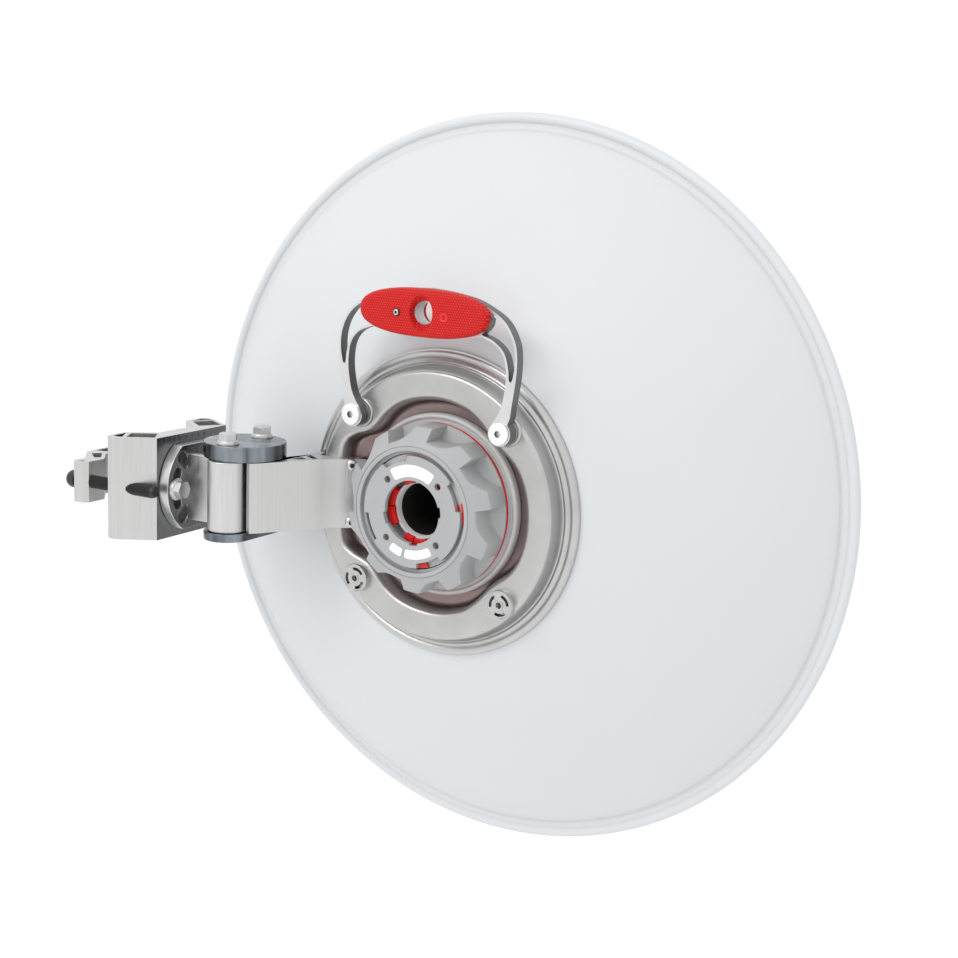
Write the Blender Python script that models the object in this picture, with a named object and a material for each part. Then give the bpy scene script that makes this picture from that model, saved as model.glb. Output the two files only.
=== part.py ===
"""Rear-fed dish antenna on a mast clamp, as separate solids.

Metres, +Z up. The origin is the centre of the clamp's flat mast face, +X points
from the mast towards the dish axis, and +Y is where the dish looks. Dish parts
use a local frame on the dish axis: local x and y are world X and Z, and local z,
called "back" below, is the distance behind the rim plane.
"""
import math

import bmesh
import bpy
from mathutils import Vector

GAP = 0.0003                 # between pieces that touch
DISH_AXIS = (0.2160, 0.1655, 0.0)   # rim plane centre

# Reflector
RIM_R = 0.3000
WALL_R = 0.2900              # where the paraboloid would meet the rim plane
BOWL_DEPTH = 0.1235
SHEET = 0.0020
DISH_HOLE_R = 0.0985
FOCAL_LENGTH = WALL_R ** 2 / (4 * BOWL_DEPTH)

# Back plate
PLATE_R = 0.1205
PLATEAU_R = 0.1040
PLATEAU_BACK = 0.1215
POCKET_FLOOR = 0.1060
POCKET_R = 0.0848
POCKET_DIP = 0.0058          # the pocket's edge bends in beside each boss
POCKET_DIP_HALF = 16.0       # degrees
LOBE_REACH = 0.0851          # the pocket's square lobe round the arm's end
LOBE_HALF = 0.0460
LOBE_CORNER_R = 0.0100
BOSS_PITCH_R = 0.0938        # bosses lie on the diagonals
BOSS_R = 0.0113
BOSS_BACK = 0.1257

# Handle
HANDLE_FRONT = BOSS_BACK + GAP
HANDLE_BACK = 0.1350
GRIP_Z = 0.1505
GRIP_HALF_LENGTH = 0.0560
GRIP_HALF_HEIGHT = 0.0180
GRIP_SHELL = 0.0080
GRIP_HOLE_R = 0.0090

# Feed port
FLANGE_R = 0.0714
FLANGE_BACK = 0.1125
COLLAR = (0.0650, 0.1135)    # radius and back of the step that carries the seam ring
SEAM_R = 0.0652
SEAM_BACK = (0.1138, 0.1166)
SLEEVE_R = 0.0440
TUBE_R = 0.0228
TUBE_BORE_R = 0.0205
TUBE_BACK = 0.1370
FACE_BACK = 0.1485
FACE_R = 0.0432
FACE_CUT_R = 0.0393
FACE_CUT = (8.0, 38.5)       # each quarter's cut sector, in degrees
FACE_HOLE_R = 0.0243
FACE_SCREW_R = 0.0319
RING_BACK = 0.1490
RING_LIP_R = (0.0470, 0.0505)
RING_R = 0.0650
RING_CONE = 0.66             # fall of the ring's front cone for each unit of radius
SCOOPS = 10
SCOOP_CORNER = 8.4           # direction of one scoop's square corner, in degrees
SCOOP_FLOOR = 0.1185         # back of the scoop's floor at the ring's edge
SCOOP_SLOPE = 0.58

# Arm and hinge
ARM_HALF = 0.0277
DISC = (0.0700, 0.0)
DISC_R = 0.0325
DISC_LOW, DISC_HIGH = 0.0280, 0.0400
HINGE_BOLT_Y = 0.0213
BARREL_R = 0.0157
KNUCKLE_R = 0.0170           # round end of the arm at the far bolt
NOSE_ANGLE = -45.5           # where the arm's round nose starts on the disc's outline
LINK_R = 0.0185
LINK_LOW = -0.0345
M8_R = 0.0040
M8_HOLE_R = 0.0043

# Elevation bracket
QUADRANT_R = 0.0405
QUADRANT_X = (0.0168, 0.0260)
SLOT_R = 0.0306
SLOT_HALF = 0.0043
SLOT_ANGLE = 23.7            # centres of the slot's round ends

# Mast clamp
JAW_HALF = 0.0408
REAR_JAW_HALF = 0.0165
CLAMP_ROD_Y = 0.0505
CLAMP_ROD_R = 0.0052
REAR_LUG_BACK = -0.0578


def wall_back(radius):
    """Distance of the reflector's outer skin behind the rim plane."""
    return BOWL_DEPTH * (1.0 - (radius / WALL_R) ** 2)


def clear_scene():
    for item in list(bpy.data.objects):
        bpy.data.objects.remove(item, do_unlink=True)


def make_material(name, colour, roughness, metallic):
    material = bpy.data.materials.new(name)
    material.use_nodes = True
    shader = material.node_tree.nodes["Principled BSDF"]
    shader.inputs["Base Color"].default_value = (*colour, 1.0)
    shader.inputs["Roughness"].default_value = roughness
    shader.inputs["Metallic"].default_value = metallic
    return material


def polar(radius, degrees, centre=(0.0, 0.0)):
    angle = math.radians(degrees)
    return (centre[0] + radius * math.cos(angle), centre[1] + radius * math.sin(angle))


def arc(centre, radius, start, end, steps):
    """Points along an arc, ends included, angles in degrees."""
    return [polar(radius, start + (end - start) * i / steps, centre) for i in range(steps + 1)]


def circle(centre, radius, steps=24):
    return [polar(radius, 360.0 * i / steps, centre) for i in range(steps)]


def hexagon(across_flats):
    return [polar(across_flats / math.sqrt(3.0), 60.0 * i + 30.0) for i in range(6)]


def mirrored(points):
    """The points followed by their mirror images in the first axis, in loop order."""
    return points + [(x, -y) for x, y in reversed(points)]


def slab(outline, low, high, holes=()):
    """An outline with holes, filled and extruded along local z."""
    bm = bmesh.new()
    edges = []
    for loop in [outline, *holes]:
        verts = [bm.verts.new((x, y, low)) for x, y in loop]
        edges += [bm.edges.new((verts[i - 1], verts[i])) for i in range(len(verts))]
    bmesh.ops.triangle_fill(bm, use_beauty=True, use_dissolve=False, edges=edges, normal=(0, 0, 1))
    faces = list(bm.faces)
    lifted = bmesh.ops.extrude_face_region(bm, geom=faces)
    verts = [item for item in lifted["geom"] if isinstance(item, bmesh.types.BMVert)]
    bmesh.ops.translate(bm, verts=verts, vec=(0, 0, high - low))
    bmesh.ops.recalc_face_normals(bm, faces=bm.faces)
    return bm


def turned(profile, steps):
    """A closed (radius, height) profile turned about local z."""
    bm = bmesh.new()
    verts = [bm.verts.new((radius, 0.0, height)) for radius, height in profile]
    edges = [bm.edges.new((verts[i - 1], verts[i])) for i in range(len(verts))]
    bmesh.ops.spin(bm, geom=verts + edges, cent=(0, 0, 0), axis=(0, 0, 1),
                   angle=math.tau, steps=steps, use_merge=True)
    bmesh.ops.remove_doubles(bm, verts=bm.verts, dist=0.000001)
    bmesh.ops.dissolve_degenerate(bm, edges=bm.edges, dist=0.000001)
    bmesh.ops.recalc_face_normals(bm, faces=bm.faces)
    return bm


def round_top_edge(bm, height, width):
    """Bevel the edges that lie at the given height."""
    rim = [e for e in bm.edges if all(abs(v.co.z - height) < 1e-6 for v in e.verts)
           and len(e.link_faces) == 2 and abs(e.calc_face_angle(0.0)) > 0.5]
    bmesh.ops.bevel(bm, geom=rim, offset=width, segments=3, profile=0.5, affect="EDGES")


# World rotation of local frames: dish parts look back along local z, and
# cross parts have local x, y, z along world Y, Z, X.
BACKWARD = (math.radians(90), 0.0, 0.0)
CROSSWAYS = (math.radians(90), 0.0, math.radians(90))
UPRIGHT = (0.0, 0.0, 0.0)


def carrier(name, location, parent=None):
    """An empty on a joint's axis that carries one moving body."""
    empty = bpy.data.objects.new(name, None)
    bpy.context.scene.collection.objects.link(empty)
    place(empty, location, UPRIGHT, parent)
    return empty


def place(item, location, rotation, parent):
    item.rotation_euler = rotation
    item.location = location
    if parent is not None:
        item.parent = parent
        item.location = Vector(location) - world_origin(parent)


def world_origin(item):
    origin = Vector(item.location)
    while item.parent is not None:
        item = item.parent
        origin += Vector(item.location)
    return origin


def add(name, bm, material, parent, location=(0, 0, 0), rotation=UPRIGHT):
    mesh = bpy.data.meshes.new(name)
    bm.to_mesh(mesh)
    bm.free()
    mesh.materials.append(material)
    mesh.shade_smooth()
    mesh.set_sharp_from_angle(angle=math.radians(30))
    item = bpy.data.objects.new(name, mesh)
    bpy.context.scene.collection.objects.link(item)
    place(item, location, rotation, parent)
    return item


def combine(item, name, bm, operation, location=(0, 0, 0), rotation=UPRIGHT):
    """Join or cut an object with a hidden tool shape."""
    tool = add(name, bm, item.data.materials[0], item.parent, location, rotation)
    tool.hide_render = True
    tool.display_type = "WIRE"
    boolean = item.modifiers.new(name, "BOOLEAN")
    boolean.operation = operation
    boolean.object = tool
    boolean.solver = "EXACT"
    return tool


def ring_loft(loops):
    """A closed ring from equal loops; the last loop joins the first."""
    bm = bmesh.new()
    rows = [[bm.verts.new(point) for point in loop] for loop in loops]
    for row, after in zip(rows, rows[1:] + rows[:1]):
        for i in range(len(row)):
            bm.faces.new((row[i - 1], row[i], after[i], after[i - 1]))
    bmesh.ops.recalc_face_normals(bm, faces=bm.faces)
    return bm


def rod(radius, low, high, steps=16):
    return slab(circle((0, 0), radius, steps), low, high)


def flange_bolt(head_af, flange_r, head_high, flange_high, shank_r, shank_low):
    """Hex head with a flange; the flange's underside is at local z = 0."""
    bm = turned([(0, 0), (flange_r, 0), (flange_r, 0.0012), (head_af * 0.56, flange_high),
                 (0, flange_high)], 18)
    head = slab(hexagon(head_af), flange_high * 0.5, head_high)
    shank = rod(shank_r, shank_low, flange_high * 0.5, 12)
    return bm, head, shank


def build_reflector(material, body):
    """Pressed sheet paraboloid with a stepped edge and a rolled rim bead."""
    bead_r = 0.0045
    bead = (RIM_R - bead_r, -0.0015)
    seats = [DISH_HOLE_R, 0.1095, PLATE_R]
    wall = seats + [0.150, 0.180, 0.210, 0.240, 0.265, 0.2845]
    outer = [(r, wall_back(r)) for r in wall]
    outer += [(0.2862, 0.0008), (0.2905, 0.0008)]
    outer += [(bead[0] + bead_r * math.cos(a), bead[1] + bead_r * math.sin(a))
              for a in (math.radians(135 - 50 * i) for i in range(7))]
    inner = [(r, back - SHEET * math.hypot(1.0, 2 * BOWL_DEPTH * r / WALL_R ** 2))
             for r, back in reversed(outer[:len(wall)])]
    inner_edge = [(0.2905, -0.0012), (0.2875, -0.0012)]
    bm = turned(outer + inner_edge + inner, 64)
    add("reflector", bm, material, body, DISH_AXIS, BACKWARD)


def pocket_outline(steps=64):
    """Round edge that dips in beside the four bosses."""
    points = []
    for i in range(steps):
        degrees = 360.0 * i / steps
        off_boss = abs((degrees % 90.0) - 45.0)
        radius = POCKET_R
        if off_boss < POCKET_DIP_HALF:
            radius -= POCKET_DIP * math.cos(math.radians(90.0 * off_boss / POCKET_DIP_HALF)) ** 2
        points.append(polar(radius, degrees))
    return points


def lobe_outline():
    """Square end of the pocket, round the arm's foot."""
    corner = (-LOBE_REACH + LOBE_CORNER_R, LOBE_HALF - LOBE_CORNER_R)
    upper = [(-0.0500, 0.0504), (-0.0674, 0.0504)] + arc(corner, LOBE_CORNER_R, 100, 180, 5)
    return mirrored(upper)


def build_back_plate(material, body):
    """Cast plate: beaded edge on the reflector, raised plateau, deep pocket."""
    seats = [(r, wall_back(r) + GAP) for r in (DISH_HOLE_R, 0.1095, PLATE_R - 0.0002)]
    profile = seats + [
        (0.1205, 0.1050), (0.1195, 0.1068), (0.1172, 0.1077), (0.1150, 0.1073),
        (0.1139, 0.1066), (0.1128, 0.1080), (0.1110, 0.1087), (0.1094, 0.1080),
        (0.1085, 0.1086), (0.1056, 0.1190), (0.1046, 0.1210), (0.1025, PLATEAU_BACK),
        (0.0240, PLATEAU_BACK), (0.0240, 0.1020), (0.0970, 0.1020), (0.0970, seats[0][1])]
    plate = add("back_plate", turned(profile, 48), material, body, DISH_AXIS, BACKWARD)
    combine(plate, "pocket_tool", slab(pocket_outline(), POCKET_FLOOR, 0.1300), "DIFFERENCE",
            DISH_AXIS, BACKWARD)
    combine(plate, "lobe_tool", slab(lobe_outline(), POCKET_FLOOR, 0.1310), "DIFFERENCE",
            DISH_AXIS, BACKWARD)
    seat = [(0.1250, 0.0610), (0.1250, 0.0445), (0.1320, 0.0445), (0.1432, 0.0504), (0.1432, 0.0610)]
    combine(plate, "arm_seat_tool", slab(seat, -ARM_HALF, ARM_HALF), "UNION")
    notch = [(0.1316, 0.0430), (0.1316, 0.04405), (0.1460, 0.0519), (0.1460, 0.0430)]
    combine(plate, "arm_notch_tool", slab(notch, -ARM_HALF - 0.0006, ARM_HALF + 0.0006), "DIFFERENCE")


PLATEAU_Y = DISH_AXIS[1] - PLATEAU_BACK + GAP


def build_bosses(material, body):
    """Round caps on the plateau's diagonals; the lower two stay open."""
    slots = [arc((0, 0), 0.0088, start, start + 75, 5) + arc((0, 0), 0.0064, start + 75, start, 5)
             for start in (20, 140, 260)]
    for name, degrees, high, holes in (
            ("boss_upper_right", 45, BOSS_BACK, []), ("boss_upper_left", 135, BOSS_BACK, []),
            ("boss_lower_left", 225, 0.1265, slots), ("boss_lower_right", 315, 0.1265, slots)):
        centre = polar(BOSS_PITCH_R, degrees)
        bm = slab(circle((0, 0), BOSS_R), PLATEAU_BACK + GAP, high,
                  [circle((0, 0), M8_HOLE_R if not holes else 0.0024, 12), *holes])
        place_at = (DISH_AXIS[0] + centre[0], DISH_AXIS[1], centre[1])
        add(name, bm, material, body, place_at, BACKWARD)


HANDLE_OUTER = [(0.0, 0.1683), (0.0143, 0.1675), (0.0245, 0.1662), (0.0355, 0.1645),
                (0.0425, 0.1628), (0.0490, 0.1604), (0.0562, 0.1570), (0.0640, 0.1527),
                (0.0706, 0.1468), (0.0757, 0.1385), (0.0784, 0.1315), (0.0795, 0.1230),
                (0.0795, 0.1150), (0.0788, 0.1060), (0.0775, 0.0965), (0.0761, 0.0870),
                (0.0752, 0.0790)]
HANDLE_INNER = [(0.0600, 0.0737), (0.0625, 0.0768), (0.0668, 0.0850), (0.0690, 0.0945),
                (0.0701, 0.1013), (0.0704, 0.1082), (0.0699, 0.1152), (0.0686, 0.1212),
                (0.0660, 0.1262), (0.0619, 0.1306), (0.0570, 0.1334), (0.0529, 0.1348),
                (0.0470, 0.1362), (0.0310, 0.1348), (0.0100, 0.1328), (0.0, 0.1328)]
HANDLE_WINDOW = [(0.0745, 0.1055), (0.0756, 0.1067), (0.0767, 0.1111), (0.0776, 0.1170),
                 (0.0777, 0.1234), (0.0768, 0.1300), (0.0741, 0.1378), (0.0692, 0.1454),
                 (0.0630, 0.1510), (0.0555, 0.1550), (0.0480, 0.1586), (0.0462, 0.1584),
                 (0.0470, 0.1560), (0.0529, 0.1517), (0.0550, 0.1502), (0.0550, 0.1480),
                 (0.0535, 0.1435), (0.0490, 0.1388), (0.0492, 0.1380), (0.0530, 0.1368),
                 (0.0571, 0.1353), (0.0620, 0.1324), (0.0669, 0.1282), (0.0701, 0.1228),
                 (0.0724, 0.1136), (0.0731, 0.1066)]


def build_handle(frame_material, grip_material, bolt_material, body):
    """Forked casting on the two upper bosses, with a grip shell on each face."""
    foot = polar(BOSS_PITCH_R, 45)
    foot_arc = arc(foot, 0.0096, 55, -190, 16)
    half = HANDLE_OUTER + foot_arc + HANDLE_INNER
    outline = half[:-1] + [(-x, y) for x, y in reversed(half[1:])]
    window_left = [(-x, y) for x, y in HANDLE_WINDOW]
    bolt_holes = [circle((side * foot[0], foot[1]), M8_HOLE_R, 12) for side in (1, -1)]
    grip_hole = circle((0, GRIP_Z), GRIP_HOLE_R, 20)
    frame = slab(outline, HANDLE_FRONT, HANDLE_BACK,
                 [HANDLE_WINDOW, window_left, *bolt_holes, grip_hole])
    add("handle_frame", frame, frame_material, body, DISH_AXIS, BACKWARD)

    grip = []
    for i in range(36):
        angle = math.tau * i / 36
        x = math.copysign(abs(math.cos(angle)) ** 0.80, math.cos(angle)) * GRIP_HALF_LENGTH
        y = math.copysign(abs(math.sin(angle)) ** 0.80, math.sin(angle)) * GRIP_HALF_HEIGHT
        grip.append((x, GRIP_Z + y))
    shells = (("grip_shell_back", HANDLE_BACK + GAP, 1), ("grip_shell_front", -HANDLE_FRONT + GAP, -1))
    for name, seat, side in shells:
        bm = slab(grip, seat, seat + GRIP_SHELL, [grip_hole])
        round_top_edge(bm, seat + GRIP_SHELL, 0.0028)
        if side < 0:
            bmesh.ops.scale(bm, vec=(1, 1, -1), verts=bm.verts)
            bmesh.ops.reverse_faces(bm, faces=bm.faces)
        add(name, bm, grip_material, body, DISH_AXIS, BACKWARD)

    head = HANDLE_BACK + GAP
    for name, side in (("handle_bolt_right", 1), ("handle_bolt_left", -1)):
        profile = [(0, PLATEAU_BACK + GAP), (M8_R, PLATEAU_BACK + GAP), (M8_R, head), (0.0083, head),
                   (0.0083, head + 0.0014), (0.0074, head + 0.0022), (0.0026, head + 0.0022),
                   (0.0026, head - 0.0020), (0, head - 0.0020)]
        place_at = (DISH_AXIS[0] + side * foot[0], DISH_AXIS[1], foot[1])
        add(name, turned(profile, 20), bolt_material, body, place_at, BACKWARD)


def build_feed_port(materials, body):
    """Everything fixed on the dish axis behind the plate."""
    adaptor = [(0.0300, POCKET_FLOOR + GAP), (FLANGE_R, POCKET_FLOOR + GAP), (FLANGE_R, 0.1095),
               (0.0705, 0.1114), (0.0686, FLANGE_BACK), (COLLAR[0], FLANGE_BACK), COLLAR,
               (SLEEVE_R, COLLAR[1]), (SLEEVE_R, 0.1440), (0.0300, 0.1440)]
    add("port_adaptor", turned(adaptor, 48), materials["grey_plastic"], body, DISH_AXIS, BACKWARD)
    low, high = SEAM_BACK
    seam = [(0.0610, low), (SEAM_R - 0.0006, low), (SEAM_R, low + 0.0008), (SEAM_R, high - 0.0008),
            (SEAM_R - 0.0006, high), (0.0610, high)]
    add("seam_ring", turned(seam, 48), materials["red_plastic"], body, DISH_AXIS, BACKWARD)

    face = []
    for start in range(0, 360, 90):
        face += arc((0, 0), FACE_R, start - 90 + FACE_CUT[1] + 1, start + FACE_CUT[0] - 1, 7)
        face += arc((0, 0), FACE_CUT_R, *(start + end for end in FACE_CUT), 4)
    screw_holes = [circle(polar(FACE_SCREW_R, d), 0.0028, 10) for d in (45, 135, 225, 315)]
    plate = slab(face, 0.1443, FACE_BACK, [circle((0, 0), FACE_HOLE_R, 32), *screw_holes])
    add("face_plate", plate, materials["grey_plastic"], body, DISH_AXIS, BACKWARD)

    latch = [(0.0231, 0.1280), (0.0297, 0.1280), (0.0297, 0.1400), (0.0262, 0.1400), (0.0231, 0.1360)]
    add("latch_ring", turned(latch, 36), materials["red_plastic"], body, DISH_AXIS, BACKWARD)

    tip = BOWL_DEPTH - FOCAL_LENGTH
    tube = [(TUBE_BORE_R, tip + 0.040), (TUBE_R, tip + 0.040), (TUBE_R, TUBE_BACK),
            (TUBE_BORE_R, TUBE_BACK)]
    add("feed_tube", turned(tube, 32), materials["cast_metal"], body, DISH_AXIS, BACKWARD)
    cone = [(0, tip), (0.0440, tip), (0.0440, tip + 0.0040), (TUBE_R, tip + 0.040 - GAP),
            (0.0202, tip + 0.040 - GAP), (0.0202, tip + 0.0560), (0, tip + 0.0560)]
    add("feed_cone", turned(cone, 32), materials["white_plastic"], body, DISH_AXIS, BACKWARD)
    disc = [(0, tip - 0.0040), (0.0430, tip - 0.0040), (0.0450, tip - 0.0020), (0.0450, tip - GAP),
            (0, tip - GAP)]
    add("sub_reflector", turned(disc, 32), materials["brushed_metal"], body, DISH_AXIS, BACKWARD)


def build_lock_ring(material, body):
    """Hand ring that turns round the adaptor's sleeve, with leaf-shaped finger scoops."""
    scoop = [(0.3, 0.0555), (7.0, 0.0553), (12.0, 0.0560), (16.0, 0.0577), (20.0, 0.0609)]
    land = [(23.5, RING_R), (29.8, RING_R), (36.0, RING_R)]
    edge = [(SCOOP_CORNER - 360.0 * i / SCOOPS - turn, radius)
            for i in range(SCOOPS) for turn, radius in scoop + land]
    bore = SLEEVE_R + 0.0006
    base = SEAM_BACK[1] + GAP
    outer = RING_R + 0.0002

    def flat(radius, back):
        return [(*polar(radius, turn), back) for turn, _ in edge]

    def front(radius):
        return RING_BACK - RING_CONE * (radius - RING_LIP_R[1])

    def floor(radius):
        return SCOOP_FLOOR + SCOOP_SLOPE * (outer - radius)

    loops = [flat(bore, base), flat(bore, 0.1446), flat(RING_LIP_R[0], 0.1446),
             flat(RING_LIP_R[0], RING_BACK), flat(RING_LIP_R[1], RING_BACK)]
    for height in (front, floor):
        loops.append([(*polar(radius, turn), height(radius)) for turn, radius in edge])
    loops += [flat(outer, SCOOP_FLOOR), flat(outer, base)]
    add("lock_ring", ring_loft(loops), material, body, DISH_AXIS, BACKWARD)


def arm_outline():
    """Plan of the extruded arm: tangent to the hinge disc, then two bends to the plate."""
    face_angle = 60.5
    tangent = polar(DISC_R, face_angle - 90, DISC)
    near_bolt = (DISC[0], -HINGE_BOLT_Y)
    recess_r = BARREL_R + 0.0026
    nose = arc(DISC, DISC_R, NOSE_ANGLE, face_angle - 90, 4)
    outer = [(0.1237, 0.0285), (0.1332, 0.0383), (0.1502, 0.0509), (0.1486, 0.0530)]
    base = [(0.1315, PLATEAU_Y - 2 * GAP), (0.1108, PLATEAU_Y - 2 * GAP), (0.1071, 0.0560),
            (0.1025, 0.0560), (0.1025, 0.0)]
    knuckle = arc((DISC[0], HINGE_BOLT_Y), KNUCKLE_R, 50, 190, 7)
    recess = arc(near_bolt, recess_r, 105, 0, 8)
    assert abs(nose[-1][0] - tangent[0]) < 1e-9
    return nose + outer + base + [(0.0985, 0.0155), (0.0890, 0.0285)] + knuckle + recess


def build_arm(materials, body):
    cells = [[(0.1055, 0.0125), (0.1145, 0.0215), (0.1055, 0.0265)],
             [(0.1055, 0.0320), (0.1175, 0.0255), (0.1195, 0.0290), (0.1055, 0.0390)]]
    bolt_hole = circle((DISC[0], HINGE_BOLT_Y), M8_HOLE_R, 12)
    arm = slab(arm_outline(), -ARM_HALF, ARM_HALF, [bolt_hole, *cells])
    add("arm", arm, materials["brushed_metal"], body)
    face = math.radians(36.5)
    for name, z in (("arm_screw_top", 0.0230), ("arm_screw_bottom", -0.0230)):
        profile = [(0, 0), (0.0047, 0), (0.0047, 0.0010), (0.0036, 0.0024), (0.0016, 0.0026),
                   (0.0016, 0.0012), (0, 0.0012)]
        spot = Vector((0.1415, 0.0444, z)) + GAP * Vector((math.sin(face), -math.cos(face), 0))
        add(name, turned(profile, 14), materials["zinc_steel"], body, spot,
            (math.radians(90), 0, face))


def build_hinge(materials, body):
    """Disc and link plate that carry the arm, and the two upright bolts."""
    bolts = [circle((0, side * HINGE_BOLT_Y), M8_HOLE_R, 12) for side in (1, -1)]
    disc = slab(circle((0, 0), DISC_R, 40), DISC_LOW, DISC_HIGH, bolts)
    add("hinge_disc", disc, materials["dark_steel"], body, (DISC[0], 0, 0))
    outline = arc((0, -HINGE_BOLT_Y), LINK_R, 180, 360, 12) + arc((0, HINGE_BOLT_Y), LINK_R, 0, 180, 12)
    link = slab(outline, LINK_LOW, -ARM_HALF - GAP, bolts)
    add("hinge_link", link, materials["dark_steel"], body, (DISC[0], 0, 0))
    shank = LINK_LOW + GAP - (DISC_HIGH + GAP)
    for name, y in (("azimuth_pivot_bolt", -HINGE_BOLT_Y), ("azimuth_lock_bolt", HINGE_BOLT_Y)):
        add_flange_bolt(name, materials["zinc_steel"], body, (DISC[0], y, DISC_HIGH + GAP),
                        UPRIGHT, shank)


def add_flange_bolt(name, material, parent, location, rotation, shank_low):
    """M8 hex flange bolt; the flange's underside is at the given place."""
    bm, head, shank = flange_bolt(0.0130, 0.0088, 0.0086, 0.0024, M8_R, shank_low)
    bolt = add(name, bm, material, parent, location, rotation)
    combine(bolt, name + "_head", head, "UNION", location, rotation)
    combine(bolt, name + "_shank", shank, "UNION", location, rotation)
    return bolt


def arc_slot(radius, half, angle, steps=12):
    """Curved slot with round ends, centred on the near side of the pivot."""
    low, high = 180 - angle, 180 + angle
    return (arc((0, 0), radius + half, low, high, steps)
            + arc(polar(radius, high), half, high, high + 180, 5)[1:-1]
            + arc((0, 0), radius - half, high, low, steps)
            + arc(polar(radius, low), half, low + 180, low + 360, 5)[1:-1])


def build_bracket(material, body):
    """Quadrant plate with its slots, a web, and the upright hinge barrel."""
    top = 0.0335
    reach = math.degrees(math.asin(top / QUADRANT_R))
    outline = arc((0, 0), QUADRANT_R, 180 - reach, 180 + reach, 16) + [(0.0140, -top), (0.0140, top)]
    window = [(-0.0280, 0.0228), (-0.0271, 0.0262), (-0.0245, 0.0285), (-0.0214, 0.0286),
              (-0.0183, 0.0266), (-0.0164, 0.0226), (-0.0163, 0.0180), (-0.0175, 0.0148),
              (-0.0196, 0.0145), (-0.0224, 0.0172), (-0.0256, 0.0202)]
    windows = [window, [(y, -z) for y, z in window]]
    slot = arc_slot(SLOT_R, SLOT_HALF, SLOT_ANGLE)
    pivot = circle((0, 0), M8_HOLE_R, 12)
    plate = slab(outline, *QUADRANT_X, [slot, pivot, *windows])
    bracket = add("elevation_bracket", plate, material, body, (0, 0, 0), CROSSWAYS)
    barrel = slab(circle((0, 0), BARREL_R, 28), -ARM_HALF, ARM_HALF, [circle((0, 0), M8_HOLE_R, 12)])
    web = [(QUADRANT_X[1] - 0.0040, -0.0165), (0.0600, -0.0165), (0.0600, -0.0105),
           (QUADRANT_X[1] - 0.0040, -0.0105)]
    combine(bracket, "web_tool", slab(web, -0.0265, 0.0265), "UNION")
    combine(bracket, "barrel_tool", barrel, "UNION", (DISC[0], -HINGE_BOLT_Y, 0))


def main_jaw_outline():
    upper = [(0.0165, 0.0425), (-0.0092, 0.0585), (-0.0150, 0.0600), (-0.0195, 0.0588),
             (-0.0212, 0.0550), (-0.0212, 0.0370), (0.0, 0.0215)]
    return mirrored(upper)


def rear_jaw_outline():
    upper = [(-0.0430, 0.0550), (-0.0470, 0.0583), (-0.0550, 0.0590), (REAR_LUG_BACK, 0.0560),
             (REAR_LUG_BACK, 0.0435), (-0.0748, 0.0230), (-0.0765, 0.0150)]
    front = [(-0.0430, -0.0370), (-0.0570, -0.0200), (-0.0570, 0.0200), (-0.0430, 0.0370)]
    return mirrored(upper) + front


def rear_jaw_cells():
    """The extrusion's hollows: one in the middle, two in each arm."""
    cells = [[(-0.0737, 0.0135), (-0.0737, -0.0135), (-0.0640, -0.0120), (-0.0640, 0.0120)]]
    for side in (1, -1):
        cells.append([(-0.0675, side * 0.0252), (-0.0618, side * 0.0190), (-0.0494, side * 0.0340),
                      (-0.0530, side * 0.0380)])
        cells.append([(-0.0535, side * 0.0568), (-0.0462, side * 0.0548), (-0.0510, side * 0.0528)])
    return cells


def build_clamp(materials, root, rear):
    """Two vee jaws round the mast and the rods that draw them together."""
    cells = []
    for side in (1, -1):
        cells.append([(-0.0178, side * 0.0395), (-0.0178, side * 0.0540), (-0.0125, side * 0.0560),
                      (-0.0085, side * 0.0545)])
        cells.append([(-0.0060, side * 0.0528), (-0.0140, side * 0.0372), (0.0025, side * 0.0252),
                      (0.0128, side * 0.0407)])
    jaw = add("clamp_jaw_front", slab(main_jaw_outline(), -JAW_HALF, JAW_HALF, cells),
              materials["brushed_metal"], root)
    for side, name in ((1, "far"), (-1, "near")):
        combine(jaw, "rod_bore_" + name, rod(CLAMP_ROD_R + 0.0005, -0.040, 0.040), "DIFFERENCE",
                (0, side * CLAMP_ROD_Y, 0), CROSSWAYS)
    depth = 0.0100
    for name, y in (("pivot", 0.0), ("lock", -SLOT_R)):
        combine(jaw, name + "_bore", rod(M8_HOLE_R, -depth, depth, 12), "DIFFERENCE",
                (QUADRANT_X[0], y, 0), CROSSWAYS)
        add_flange_bolt("elevation_" + name + "_bolt", materials["zinc_steel"], root,
                        (QUADRANT_X[1] + GAP, y, 0), CROSSWAYS,
                        QUADRANT_X[0] - depth + 0.0010 - QUADRANT_X[1])

    rear_jaw = add("clamp_jaw_rear",
                   slab(rear_jaw_outline(), -REAR_JAW_HALF, REAR_JAW_HALF, rear_jaw_cells()),
                   materials["brushed_metal"], rear)
    seat = REAR_LUG_BACK - GAP
    for side, name in ((1, "far"), (-1, "near")):
        centre = (0, side * CLAMP_ROD_Y, 0)
        combine(rear_jaw, "rear_bore_" + name, rod(CLAMP_ROD_R + 0.0003, -0.080, -0.030),
                "DIFFERENCE", centre, CROSSWAYS)
        profile = [(0, -0.0685), (0.0030, -0.0682), (0.0055, -0.0666), (0.0070, -0.0638),
                   (0.0073, seat - 0.0020), (0.0073, seat), (CLAMP_ROD_R, seat), (CLAMP_ROD_R, 0.0200),
                   (0.0035, 0.0225), (0, 0.0225)]
        add("clamp_bolt_" + name, turned(profile, 18), materials["black_plastic"], rear,
            centre, CROSSWAYS)


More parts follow.
